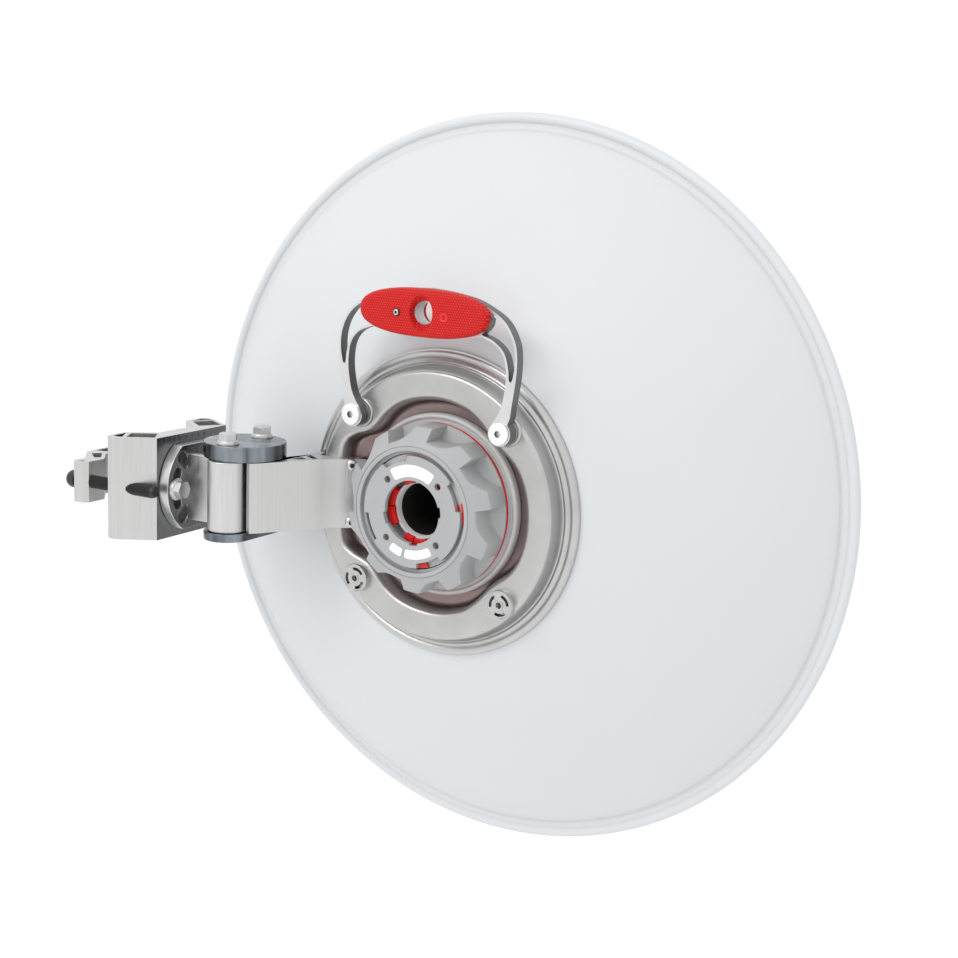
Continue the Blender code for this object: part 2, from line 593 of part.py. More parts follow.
def main():
    clear_scene()
    materials = {
        "white_paint": make_material("white_paint", (0.86, 0.87, 0.88), 0.45, 0.0),
        "cast_metal": make_material("cast_metal", (0.60, 0.60, 0.60), 0.42, 0.9),
        "brushed_metal": make_material("brushed_metal", (0.72, 0.71, 0.70), 0.35, 0.9),
        "zinc_steel": make_material("zinc_steel", (0.70, 0.71, 0.72), 0.28, 1.0),
        "dark_steel": make_material("dark_steel", (0.30, 0.33, 0.36), 0.30, 1.0),
        "grey_plastic": make_material("grey_plastic", (0.52, 0.53, 0.53), 0.55, 0.0),
        "red_plastic": make_material("red_plastic", (0.72, 0.04, 0.03), 0.45, 0.0),
        "black_plastic": make_material("black_plastic", (0.02, 0.02, 0.02), 0.45, 0.0),
        "white_plastic": make_material("white_plastic", (0.82, 0.82, 0.80), 0.40, 0.0),
    }
    clamp = carrier("clamp_body", (0, 0, 0))
    rear = carrier("rear_jaw_body", (-0.0570, 0, 0), clamp)
    tilt = carrier("elevation_body", (0, 0, 0), clamp)
    turn = carrier("azimuth_body", (DISC[0], -HINGE_BOLT_Y, 0), tilt)
    ring = carrier("lock_ring_body", DISH_AXIS, turn)

    build_clamp(materials, clamp, rear)
    build_bracket(materials["brushed_metal"], tilt)
    build_hinge(materials, turn)
    build_arm(materials, turn)
    build_reflector(materials["white_paint"], turn)
    build_back_plate(materials["cast_metal"], turn)
    build_bosses(materials["cast_metal"], turn)
    build_handle(materials["cast_metal"], materials["red_plastic"], materials["zinc_steel"], turn)
    build_feed_port(materials, turn)
    build_lock_ring(materials["grey_plastic"], ring)


main()
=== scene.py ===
"""Looks of the rear-fed dish antenna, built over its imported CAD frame."""
import math

import bmesh
import bpy
from mathutils import Matrix, Vector


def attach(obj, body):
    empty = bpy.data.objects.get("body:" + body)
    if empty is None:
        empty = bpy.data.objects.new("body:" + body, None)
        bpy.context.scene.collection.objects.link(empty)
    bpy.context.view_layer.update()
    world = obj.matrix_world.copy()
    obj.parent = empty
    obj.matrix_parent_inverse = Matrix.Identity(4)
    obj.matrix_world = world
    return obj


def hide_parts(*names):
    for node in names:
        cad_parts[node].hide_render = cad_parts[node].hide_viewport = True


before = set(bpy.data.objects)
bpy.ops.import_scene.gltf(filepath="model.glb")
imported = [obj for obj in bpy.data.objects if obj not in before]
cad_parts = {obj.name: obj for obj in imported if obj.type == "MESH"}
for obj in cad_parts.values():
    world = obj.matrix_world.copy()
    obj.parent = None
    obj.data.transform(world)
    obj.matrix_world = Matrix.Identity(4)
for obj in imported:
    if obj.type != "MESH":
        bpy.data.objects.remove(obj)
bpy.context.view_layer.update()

MM = 0.001

DISH_AXIS = Vector((0.2160, 0.1655, 0.0))
BACKWARD = (math.radians(90), 0.0, 0.0)
CROSSWAYS = (math.radians(90), 0.0, math.radians(90))
UPRIGHT = (0.0, 0.0, 0.0)
BOWL_DEPTH = 0.1235
WALL_R = 0.2900
DISC = (0.0700, 0.0)
HINGE_BOLT_Y = 0.0213
BARREL_R = 0.0157
NOSE_ANGLE = -45.5
PLATEAU_Y = 0.0443


# Outlines and meshes

def polar(radius, degrees, centre=(0.0, 0.0)):
    angle = math.radians(degrees)
    return (centre[0] + radius * math.cos(angle), centre[1] + radius * math.sin(angle))


def arc(centre, radius, start, end, steps):
    return [polar(radius, start + (end - start) * i / steps, centre) for i in range(steps + 1)]


def circle(centre, radius, steps=48):
    return [polar(radius, 360.0 * i / steps, centre) for i in range(steps)]


def smooth_loop(points, steps=4, closed=True):
    """Catmull-Rom curve through the points."""
    n = len(points)
    out = []
    for i in range(n if closed else n - 1):
        p = [Vector(points[(i + k - 1) % n] if closed else points[min(max(i + k - 1, 0), n - 1)])
             for k in range(4)]
        for s in range(steps):
            t = s / steps
            q = 0.5 * ((2 * p[1]) + (p[2] - p[0]) * t + (2 * p[0] - 5 * p[1] + 4 * p[2] - p[3]) * t ** 2
                       + (3 * p[1] - p[0] - 3 * p[2] + p[3]) * t ** 3)
            out.append(tuple(q))
    if not closed:
        out.append(tuple(points[-1]))
    return out


def slab(outline, low, high, holes=()):
    bm = bmesh.new()
    edges = []
    for loop in [outline, *holes]:
        verts = [bm.verts.new((x, y, low)) for x, y in loop]
        edges += [bm.edges.new((verts[i - 1], verts[i])) for i in range(len(verts))]
    bmesh.ops.triangle_fill(bm, use_beauty=True, use_dissolve=False, edges=edges, normal=(0, 0, 1))
    lifted = bmesh.ops.extrude_face_region(bm, geom=list(bm.faces))
    verts = [item for item in lifted["geom"] if isinstance(item, bmesh.types.BMVert)]
    bmesh.ops.translate(bm, verts=verts, vec=(0, 0, high - low))
    flat = [e for e in bm.edges if len(e.link_faces) == 2 and e.calc_face_angle(1.0) < 0.001]
    bmesh.ops.dissolve_edges(bm, edges=flat, use_verts=False)
    bmesh.ops.recalc_face_normals(bm, faces=bm.faces)
    return bm


def turned(profile, steps=96, closed=True):
    bm = bmesh.new()
    verts = [bm.verts.new((radius, 0.0, height)) for radius, height in profile]
    first = 0 if closed else 1
    edges = [bm.edges.new((verts[i - 1], verts[i])) for i in range(first, len(verts))]
    bmesh.ops.spin(bm, geom=verts + edges, cent=(0, 0, 0), axis=(0, 0, 1),
                   angle=math.tau, steps=steps, use_merge=True)
    bmesh.ops.remove_doubles(bm, verts=bm.verts, dist=0.000001)
    bmesh.ops.dissolve_degenerate(bm, edges=bm.edges, dist=0.000001)
    bmesh.ops.recalc_face_normals(bm, faces=bm.faces)
    return bm


def loft(loops, cap_start=True, cap_end=True):
    """Quads between loops of the same length; the caps are fans or n-gons."""
    bm = bmesh.new()
    rows = [[bm.verts.new(point) for point in loop] for loop in loops]
    n = len(rows[0])
    for a, b in zip(rows, rows[1:]):
        for i in range(n):
            bm.faces.new((a[i - 1], a[i], b[i], b[i - 1]))
    if cap_start:
        bm.faces.new(list(reversed(rows[0])))
    if cap_end:
        bm.faces.new(rows[-1])
    bmesh.ops.recalc_face_normals(bm, faces=bm.faces)
    return bm


def side_faces_second(bm):
    """The faces that run along local z take the piece's second material, a darker copy that is painted shade.
    """
    for face in bm.faces:
        face.material_index = 1 if abs(face.normal.z) < 0.5 else 0
    return bm


def right_faces_second(bm):
    """Flat faces that look along +X take the piece's second material, a darker copy that is painted shade."""
    bm.normal_update()
    for face in bm.faces:
        if face.normal.x > 0.9:
            face.material_index = 1
    return bm


def merged(*parts):
    """Several bmeshes in one."""
    whole = parts[0]
    for part in parts[1:]:
        mesh = bpy.data.meshes.new("part")
        part.to_mesh(mesh)
        part.free()
        whole.from_mesh(mesh)
        bpy.data.meshes.remove(mesh)
    return whole


def add(name, bm, material, body, location=(0, 0, 0), rotation=UPRIGHT, stands_for=(),
        bevel=0.0, sharp=32, segments=2, more=()):
    """A finished piece that rides on a CAD body, and may stand for CAD nodes."""
    mesh = bpy.data.meshes.new(name)
    bm.to_mesh(mesh)
    bm.free()
    mesh.materials.append(material)
    for extra in more:
        mesh.materials.append(extra)
    item = bpy.data.objects.new(name, mesh)
    bpy.context.scene.collection.objects.link(item)
    item.location = location
    item.rotation_euler = rotation
    soften(item, bevel, sharp, segments)
    bpy.context.view_layer.update()
    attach(item, body)
    if stands_for:
        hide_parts(*stands_for)
    return item


def soften(item, bevel, sharp, segments=2):
    if bevel > 0.0:
        rounding = item.modifiers.new("rounding", "BEVEL")
        rounding.width = bevel
        rounding.segments = segments
        rounding.limit_method = "ANGLE"
        rounding.angle_limit = math.radians(sharp)
        rounding.harden_normals = True
        rounding.use_clamp_overlap = True
    item.data.shade_smooth()
    item.data.set_sharp_from_angle(angle=math.radians(sharp if bevel == 0.0 else 180))


# Materials

class Look:
    """Small helper that wires one Principled material."""

    def __init__(self, name, slot, colour, roughness, metallic=0.0):
        self.material = bpy.data.materials.new(name)
        self.material.use_nodes = True
        self.material["slot"] = slot
        self.tree = self.material.node_tree
        self.shader = self.tree.nodes["Principled BSDF"]
        self.colour = colour
        self.roughness = roughness
        self.shader.inputs["Base Color"].default_value = (*colour, 1.0)
        self.shader.inputs["Roughness"].default_value = roughness
        self.shader.inputs["Metallic"].default_value = metallic
        self.heights = []

    def node(self, kind, **values):
        item = self.tree.nodes.new(kind)
        for key, value in values.items():
            setattr(item, key, value)
        return item

    def link(self, output, target):
        self.tree.links.new(output, target)

    def noise(self, scale, detail=4.0, stretch=(1, 1, 1)):
        """Noise in object space, stretched along the axes with small factors."""
        where = self.node("ShaderNodeTexCoord")
        mapping = self.node("ShaderNodeMapping")
        mapping.inputs["Scale"].default_value = stretch
        noise = self.node("ShaderNodeTexNoise")
        noise.inputs["Scale"].default_value = scale
        noise.inputs["Detail"].default_value = detail
        self.link(where.outputs["Object"], mapping.inputs["Vector"])
        self.link(mapping.outputs["Vector"], noise.inputs["Vector"])
        return noise.outputs["Fac"]

    def ranged(self, value, low, high):
        node = self.node("ShaderNodeMapRange")
        node.inputs["From Min"].default_value = 0.3
        node.inputs["From Max"].default_value = 0.7
        node.inputs["To Min"].default_value = low
        node.inputs["To Max"].default_value = high
        self.link(value, node.inputs["Value"])
        return node.outputs["Result"]

    def vary_roughness(self, value, spread):
        result = self.ranged(value, self.roughness - spread, self.roughness + spread)
        self.link(result, self.shader.inputs["Roughness"])

    def vary_colour(self, value, spread):
        mix = self.node("ShaderNodeMix", data_type="RGBA")
        dark = [max(0.0, c * (1 - spread)) for c in self.colour]
        light = [min(1.0, c * (1 + spread)) for c in self.colour]
        mix.inputs["A"].default_value = (*dark, 1.0)
        mix.inputs["B"].default_value = (*light, 1.0)
        self.link(self.ranged(value, 0.0, 1.0), mix.inputs["Factor"])
        self.link(mix.outputs["Result"], self.shader.inputs["Base Color"])

    def painted_shade_below(self, low, high, shade_tint):
        """Painted shade: blend the base colour into a darker tint below a height in the piece's own z."""
        where = self.node("ShaderNodeTexCoord")
        split = self.node("ShaderNodeSeparateXYZ")
        self.link(where.outputs["Object"], split.inputs[0])
        share = self.node("ShaderNodeMapRange", interpolation_type="SMOOTHSTEP")
        share.inputs["From Min"].default_value = low
        share.inputs["From Max"].default_value = high
        self.link(split.outputs["Z"], share.inputs["Value"])
        mix = self.node("ShaderNodeMix", data_type="RGBA")
        mix.inputs["A"].default_value = (*shade_tint, 1.0)
        self.link(share.outputs["Result"], mix.inputs["Factor"])
        self.link(self.shader.inputs["Base Color"].links[0].from_socket, mix.inputs["B"])
        self.link(mix.outputs["Result"], self.shader.inputs["Base Color"])

    def bump(self, value, height):
        self.heights.append((value, height))

    def done(self):
        """Chains the collected bumps into the shader's normal."""
        normal = None
        for value, height in self.heights:
            bump = self.node("ShaderNodeBump")
            bump.inputs["Strength"].default_value = 1.0
            bump.inputs["Distance"].default_value = height
            self.link(value, bump.inputs["Height"])
            if normal is not None:
                self.link(normal, bump.inputs["Normal"])
            normal = bump.outputs["Normal"]
        if normal is not None:
            self.link(normal, self.shader.inputs["Normal"])
        return self.material


def paint_look():
    look = Look("white_powder_coat", "white_paint", (0.61, 0.632, 0.650), 0.46)
    look.vary_colour(look.noise(9.0, 2.0), 0.006)
    fine = look.noise(1100.0, 2.0)
    look.vary_roughness(look.noise(60.0, 3.0), 0.03)
    look.bump(fine, 0.00002)
    return look.done()


def cast_look(name, colour, roughness=0.36, painted_shade=None, grain=0.00004):
    look = Look(name, "cast_metal", colour, roughness, 1.0)
    look.vary_colour(look.noise(45.0, 5.0), 0.05)
    if painted_shade is not None:
        look.painted_shade_below(*painted_shade)
    look.vary_roughness(look.noise(260.0, 4.0), 0.06)
    look.bump(look.noise(900.0, 3.0), grain)
    look.bump(look.noise(120.0, 2.0), 0.75 * grain)
    return look.done()


def brushed_look(name, slot, colour, roughness, stretch, height=0.00003, spread=0.05):
    look = Look(name, slot, colour, roughness, 1.0)
    streaks = look.noise(1.0, 3.0, stretch)
    look.vary_colour(streaks, spread)
    look.vary_roughness(streaks, 0.07)
    look.bump(streaks, height)
    return look.done()


def plastic_look(name, slot, colour, roughness, grain=0.00003):
    look = Look(name, slot, colour, roughness)
    look.vary_colour(look.noise(30.0, 3.0), 0.03)
    look.vary_roughness(look.noise(200.0, 3.0), 0.04)
    look.bump(look.noise(1300.0, 2.0), grain)
    return look.done()


def hex_grip_look():
    """Red plastic with a raised honeycomb grain in the piece's own x, y plane, darker in the grooves as painted
    shade.
    """
    look = Look("red_grip", "red_plastic", (0.72, 0.010, 0.008), 0.52)
    look.shader.inputs["Specular IOR Level"].default_value = 0.30
    pitch = 0.0022
    where = look.node("ShaderNodeTexCoord")
    distances = []
    for shift in (0.0, 0.5):
        cell = look.node("ShaderNodeVectorMath", operation="MULTIPLY_ADD")
        cell.inputs[1].default_value = (1 / pitch, 1 / (pitch * math.sqrt(3.0)), 0.0)
        cell.inputs[2].default_value = (shift, shift, 0.0)
        look.link(where.outputs["Object"], cell.inputs[0])
        fraction = look.node("ShaderNodeVectorMath", operation="FRACTION")
        look.link(cell.outputs[0], fraction.inputs[0])
        centred = look.node("ShaderNodeVectorMath", operation="SUBTRACT")
        centred.inputs[1].default_value = (0.5, 0.5, 0.0)
        look.link(fraction.outputs[0], centred.inputs[0])
        scaled = look.node("ShaderNodeVectorMath", operation="MULTIPLY")
        scaled.inputs[1].default_value = (1.0, math.sqrt(3.0), 0.0)
        look.link(centred.outputs[0], scaled.inputs[0])
        length = look.node("ShaderNodeVectorMath", operation="LENGTH")
        look.link(scaled.outputs[0], length.inputs[0])
        distances.append(length.outputs["Value"])
    nearest = look.node("ShaderNodeMath", operation="MINIMUM")
    look.link(distances[0], nearest.inputs[0])
    look.link(distances[1], nearest.inputs[1])
    dome = look.node("ShaderNodeMapRange", interpolation_type="SMOOTHSTEP")
    dome.inputs["From Min"].default_value = 0.20
    dome.inputs["From Max"].default_value = 0.48
    dome.inputs["To Min"].default_value = 1.0
    dome.inputs["To Max"].default_value = 0.0
    look.link(nearest.outputs[0], dome.inputs["Value"])
    look.bump(dome.outputs["Result"], 0.00050)
    # Darker red in the grooves between the domes, lighter on their tops: painted shade.
    mix = look.node("ShaderNodeMix", data_type="RGBA")
    mix.inputs["A"].default_value = (0.46, 0.004, 0.003, 1.0)
    mix.inputs["B"].default_value = (0.78, 0.016, 0.012, 1.0)
    look.link(dome.outputs["Result"], mix.inputs["Factor"])
    look.link(mix.outputs["Result"], look.shader.inputs["Base Color"])
    return look.done()


PAINT = paint_look()
CAST = cast_look("cast_aluminium", (0.52, 0.517, 0.514))
# The plate's pocket floor and walls fade into a red-brown painted shade below the plateau, with a painted
# reflection of the red parts round it.
PLATE_CAST = cast_look("plate_casting", (0.50, 0.497, 0.494), 0.38, (0.1055, 0.1165, (0.27, 0.205, 0.20)))
# Darker copy of the cast metal: painted shade on the plate's sloped wall into the groove.
SLOPE_PAINTED_SHADE = cast_look("plate_slope_painted_shade", (0.34, 0.34, 0.34), 0.36, None, 0.00001)
HANDLE_CAST = cast_look("handle_casting", (0.66, 0.66, 0.66), 0.42)
# Darker copy of the handle casting: painted shade on the handle's sides and in the screws' hex sockets.
HANDLE_SIDE_SHADE = cast_look("handle_side_painted_shade", (0.20, 0.20, 0.20), 0.45)
EXTRUDED = brushed_look("extruded_aluminium", "brushed_metal", (0.58, 0.578, 0.575), 0.34, (900, 900, 14))
BRACKET_METAL = brushed_look("bracket_aluminium", "brushed_metal", (0.62, 0.62, 0.62), 0.38, (500, 500, 30),
                             0.00001)
ZINC = brushed_look("zinc_plated", "zinc_steel", (0.58, 0.58, 0.58), 0.34, (90, 90, 90), 0.00001)
BOLT_FACE = brushed_look("white_zinc", "zinc_steel", (0.94, 0.94, 0.94), 0.42, (400, 400, 400), 0.00001)
DARK_STEEL = brushed_look("blue_zinc_steel", "dark_steel", (0.20, 0.225, 0.25), 0.26, (75, 75, 8),
                          0.00001, 0.75)
HUB = plastic_look("hub_grey", "grey_plastic", (0.375, 0.38, 0.385), 0.50)
FLANGE = plastic_look("flange_grey", "grey_plastic", (0.56, 0.56, 0.56), 0.36)
# Darker copies of the extruded and bracket metal: painted shade on the faces that look along +X.
EXTRUDED_SIDE_SHADE = brushed_look("extruded_side_painted_shade", "brushed_metal", (0.22, 0.22, 0.222), 0.30, (900, 900, 14))
BRACKET_SIDE_SHADE = brushed_look("bracket_side_painted_shade", "brushed_metal", (0.20, 0.20, 0.20), 0.26, (500, 500, 30))
RED = plastic_look("red_plastic", "red_plastic", (0.70, 0.008, 0.006), 0.40)
GRIP = hex_grip_look()
# Light grey, not metallic, copy of the cast metal: painted light on the tube's rim so it reads lit.
TUBE_PAINTED_LIGHT = plastic_look("tube_painted_light", "cast_metal", (0.62, 0.62, 0.62), 0.40)
# Black coating on the clamp rods; the same black stands for painted shade in the screw recesses.
BLACK_AND_RECESS_SHADE = plastic_look("black_coated_and_recess_shade", "black_plastic", (0.012, 0.012, 0.013), 0.42)
# Near-black copy of the cast metal: painted shade deep inside the waveguide bore.
BORE_SHADE = plastic_look("bore_painted_shade", "cast_metal", (0.010, 0.009, 0.008), 0.60)
WHITE = plastic_look("white_plastic", "white_plastic", (0.80, 0.80, 0.78), 0.40)
LABEL = plastic_look("label_film", "white_plastic", (0.84, 0.84, 0.84), 0.35, 0.00001)
INK = plastic_look("scale_ink", "black_plastic", (0.05, 0.05, 0.05), 0.50, 0.00001)


# Dish

def wall_back(radius):
    return BOWL_DEPTH * (1.0 - (radius / WALL_R) ** 2)


def build_reflector():
    sheet = 0.0018
    radii = [0.0985 + (0.2835 - 0.0985) * i / 36 for i in range(37)]
    outer = [(r, wall_back(r)) for r in radii]
    outer += [(0.2846, 0.0044), (0.2853, 0.0034), (0.2858, 0.0020), (0.2864, 0.0012), (0.2875, 0.0008),
              (0.2895, 0.0006), (0.2907, 0.0005)]
    outer += [polar(0.0045, 152 - 12 * i, (0.2955, -0.0015)) for i in range(29)]
    inner = [(0.2915, -0.0008), (0.2900, -0.0011), (0.2872, -0.0011), (0.2850, 0.0005)]
    inner += [(r, wall_back(r) - sheet * math.hypot(1.0, 2 * BOWL_DEPTH * r / WALL_R ** 2))
              for r in reversed(radii)]
    add("dish_shell", turned(outer + inner, 224), PAINT, "dish", DISH_AXIS, BACKWARD,
        ("reflector",), sharp=50)


POCKET = [(0, 85.3), (12, 85.4), (24, 85.0), (32, 83.2), (39, 79.8), (45, 78.3), (51, 79.2), (58, 81.6),
          (69, 84.4), (83, 84.9), (98, 84.5), (110, 84.2), (122, 82.2), (129, 79.6), (135, 78.5),
          (139, 80.0), (143, 84.2), (150, 91.2), (155, 93.2), (162, 89.5), (170, 86.4), (180, 85.1)]


def pocket_radius(degrees):
    """Measured edge of the plate's pocket, the same above and below."""
    turn = abs((degrees + 180.0) % 360.0 - 180.0)
    for (a, ra), (b, rb) in zip(POCKET, POCKET[1:]):
        if turn <= b:
            t = (turn - a) / (b - a)
            t = t * t * (3 - 2 * t)
            return (ra + (rb - ra) * t) * MM
    return POCKET[-1][1] * MM


def build_plate():
    steps = 288
    angles = [360.0 * i / steps for i in range(steps)]
    raw = [pocket_radius(a) for a in angles]
    edge = [sum(raw[(i + k) % steps] for k in range(-3, 4)) / 7 for i in range(steps)]
    floor, top = 0.1060, 0.1215
    wall = [(-0.0074, floor), (-0.0058, floor + 0.0003), (-0.0045, floor + 0.0013),
            (-0.0035, floor + 0.0032), (-0.0024, top - 0.0056), (-0.0014, top - 0.0026),
            (-0.0002, top - 0.0009), (0.0012, top - 0.0002), (0.0024, top)]
    fixed = [(0.1018, top), (0.1030, top - 0.0002), (0.1042, top - 0.0009),
             (0.1050, top - 0.0022), (0.1060, 0.1165), (0.1074, 0.1110), (0.1080, 0.1092),
             (0.1086, 0.1083), (0.1093, 0.1080), (0.1101, 0.1084), (0.1111, 0.1087),
             (0.1122, 0.1082), (0.1131, 0.1072), (0.1139, 0.1066), (0.1147, 0.1070), (0.1158, 0.1076),
             (0.1172, 0.1077), (0.1185, 0.1073), (0.1195, 0.1066), (0.1203, 0.1054), (0.1206, 0.1036),
             (0.1206, 0.1025)]
    loops = []
    loops.append([(*polar(0.030, a), 0.1045) for a in angles])
    loops.append([(*polar(0.030, a), floor) for a in angles])
    loops += [[(*polar(edge[i] + step, a), b) for i, a in enumerate(angles)] for step, b in wall]
    loops.append([(*polar(max(0.0985, reach + 0.0030), a), top) for reach, a in zip(edge, angles)])
    loops += [[(*polar(r, a), b) for a in angles] for r, b in fixed]
    loops.append([(*polar(0.100, a), 0.1110) for a in angles])
    plate = loft(loops, cap_start=False, cap_end=False)
    for face in plate.faces:
        middle = face.calc_center_median()
        ring = math.hypot(middle.x, middle.y)
        if ring > 0.1085:
            face.material_index = 2
        # The sloped wall into the groove takes the darker copy, a painted shade.
        elif ring > 0.1050 and middle.z > 0.1080:
            face.material_index = 1
    seat = slab([(-0.0910, -0.0610), (-0.0910, -0.0446), (-0.0838, -0.0446), (-0.0728, -0.0506),
                 (-0.0728, -0.0610)], -0.0277, 0.0277)
    into_plate = Matrix(((1, 0, 0, 0), (0, 0, -1, 0), (0, 1, 0, DISH_AXIS.y), (0, 0, 0, 1)))
    bmesh.ops.transform(seat, matrix=into_plate, verts=seat.verts)
    add("plate_casting", merged(plate, seat), PLATE_CAST, "dish", DISH_AXIS, BACKWARD, ("back_plate",),
        sharp=38, more=(SLOPE_PAINTED_SHADE, CAST))


def build_bosses():
    top = 0.1215
    for name, degrees in (("boss_upper_right", 45), ("boss_upper_left", 135)):
        centre = polar(0.0938, degrees)
        profile = [(0, top - 0.002), (0.0116, top - 0.002), (0.0116, top + 0.0014), (0.0111, top + 0.0020),
                   (0.0105, top + 0.0022), (0.0101, top + 0.0016), (0.0098, top + 0.0016),
                   (0.0095, top + 0.0040), (0.0090, 0.1256), (0, 0.1256)]
        place = DISH_AXIS + Vector((centre[0], 0, centre[1]))
        add("pad_" + name, turned(profile, 64), CAST, "dish", place, BACKWARD, (name,), sharp=40)
    slots = [arc((0, 0), 0.0087, start, start + 72, 10) + arc((0, 0), 0.0064, start + 72, start, 10)
             for start in (24, 144, 264)]
    for name, degrees, turn in (("boss_lower_left", 225, 8), ("boss_lower_right", 315, -20)):
        centre = polar(0.0938, degrees)
        rim = turned([(0.0100, top - 0.001), (0.0115, top - 0.001), (0.0115, 0.1262), (0.0112, 0.1267),
                      (0.0104, 0.1267), (0.0100, 0.1262)], 64)
        disc = slab(circle((0, 0), 0.0101, 64), 0.1238, 0.1262, [circle((0, 0), 0.0024, 24), *slots])
        hub = turned([(0.0023, 0.1225), (0.0040, 0.1225), (0.0040, 0.1265), (0.0037, 0.1268),
                      (0.0026, 0.1268), (0.0023, 0.1264)], 32)
        bm = merged(rim, disc, hub)
        bmesh.ops.rotate(bm, cent=(0, 0, 0), matrix=Matrix.Rotation(math.radians(turn), 3, "Z"), verts=bm.verts)
        place = DISH_AXIS + Vector((centre[0], 0, centre[1]))
        add("cap_" + name, bm, CAST, "dish", place, BACKWARD, (name,), bevel=0.0002)


# Handle

HANDLE_OUTER = [(0.0, 0.1683), (0.0143, 0.1675), (0.0245, 0.1662), (0.0355, 0.1645),
                (0.0425, 0.1628), (0.0490, 0.1604), (0.0562, 0.1570), (0.0640, 0.1527),
                (0.0706, 0.1468), (0.0757, 0.1385), (0.0784, 0.1315), (0.0795, 0.1230),
                (0.0795, 0.1150), (0.0788, 0.1060), (0.0775, 0.0965), (0.0761, 0.0870),
                (0.0752, 0.0790)]
HANDLE_INNER = [(0.0600, 0.0737), (0.0625, 0.0768), (0.0668, 0.0850), (0.0690, 0.0945),
                (0.0701, 0.1013), (0.0704, 0.1082), (0.0699, 0.1152), (0.0686, 0.1212),
                (0.0660, 0.1262), (0.0619, 0.1306), (0.0570, 0.1334), (0.0529, 0.1348),
                (0.0470, 0.1362), (0.0310, 0.1348), (0.0100, 0.1328), (0.0, 0.1328)]
HANDLE_WINDOW = [(0.0745, 0.1055), (0.0756, 0.1067), (0.0767, 0.1111), (0.0776, 0.1170),
                 (0.0777, 0.1234), (0.0768, 0.1300), (0.0741, 0.1378), (0.0692, 0.1454),
                 (0.0630, 0.1510), (0.0555, 0.1550), (0.0480, 0.1586), (0.0462, 0.1584),
                 (0.0470, 0.1560), (0.0529, 0.1517), (0.0550, 0.1502), (0.0550, 0.1480),
                 (0.0535, 0.1435), (0.0490, 0.1388), (0.0492, 0.1380), (0.0530, 0.1368),
                 (0.0571, 0.1353), (0.0620, 0.1324), (0.0669, 0.1282), (0.0701, 0.1228),
                 (0.0724, 0.1136), (0.0731, 0.1066)]
GRIP_Z = 0.1505
# Rounded edges as (inset from the outline, height over the seat), and eyes as
# (half width, half height, height under the shell's face).
BACK_EDGE = [(0.0, 0.0), (0.0, 0.0044), (0.0003, 0.0058), (0.0011, 0.0069), (0.0023, 0.0076), (0.0040, 0.0080),
             (0.0044, 0.0080)]
BACK_EYE = [(0.0104, 0.0135, 0.0), (0.0101, 0.0131, 0.0003), (0.0099, 0.0126, 0.0010),
            (0.0095, 0.0100, 0.0046), (0.0092, 0.0092, 0.0052), (0.0091, 0.0091, 0.0080)]
FRONT_EDGE = [(0.0050, 0.0), (0.0050, 0.0030), (0.0053, 0.0040), (0.0060, 0.0047), (0.0068, 0.0050),
              (0.0070, 0.0050)]
FRONT_EYE = [(0.0098, 0.0098, 0.0), (0.0096, 0.0096, 0.0004), (0.0096, 0.0096, 0.0050)]


def grip_outline(steps=96, inset=0.0):
    points = []
    for i in range(steps):
        angle = math.tau * i / steps
        x = math.copysign(abs(math.cos(angle)) ** 0.82, math.cos(angle)) * (0.0562 - inset)
        y = math.copysign(abs(math.sin(angle)) ** 0.82, math.sin(angle)) * (0.0182 - inset)
        points.append((x, GRIP_Z + y))
    return points


def oval(half_width, half_height, steps=64):
    """Ellipse round the grip's eye."""
    turns = [math.tau * i / steps for i in range(steps)]
    return [(half_width * math.cos(turn), GRIP_Z + half_height * math.sin(turn)) for turn in turns]


def build_grip_shell(name, seat, side, edge, eye):
    """A red shell: rounded edge, flat face, and the eye through it."""
    rim = loft([[(x, y, seat + side * h) for x, y in grip_outline(96, inset)] for inset, h in edge],
               cap_start=False, cap_end=False)
    top = seat + side * edge[-1][1]
    face = slab(grip_outline(96, edge[-1][0]), top - 0.00001, top, [oval(eye[0][0], eye[0][1])])
    wall = loft([[(x, y, top - side * b) for x, y in oval(width, height)] for width, height, b in eye],
                cap_start=False, cap_end=False)
    add("grip_" + name, merged(rim, face, wall), GRIP, "dish", DISH_AXIS, BACKWARD,
        ("grip_shell_" + name,), sharp=50)


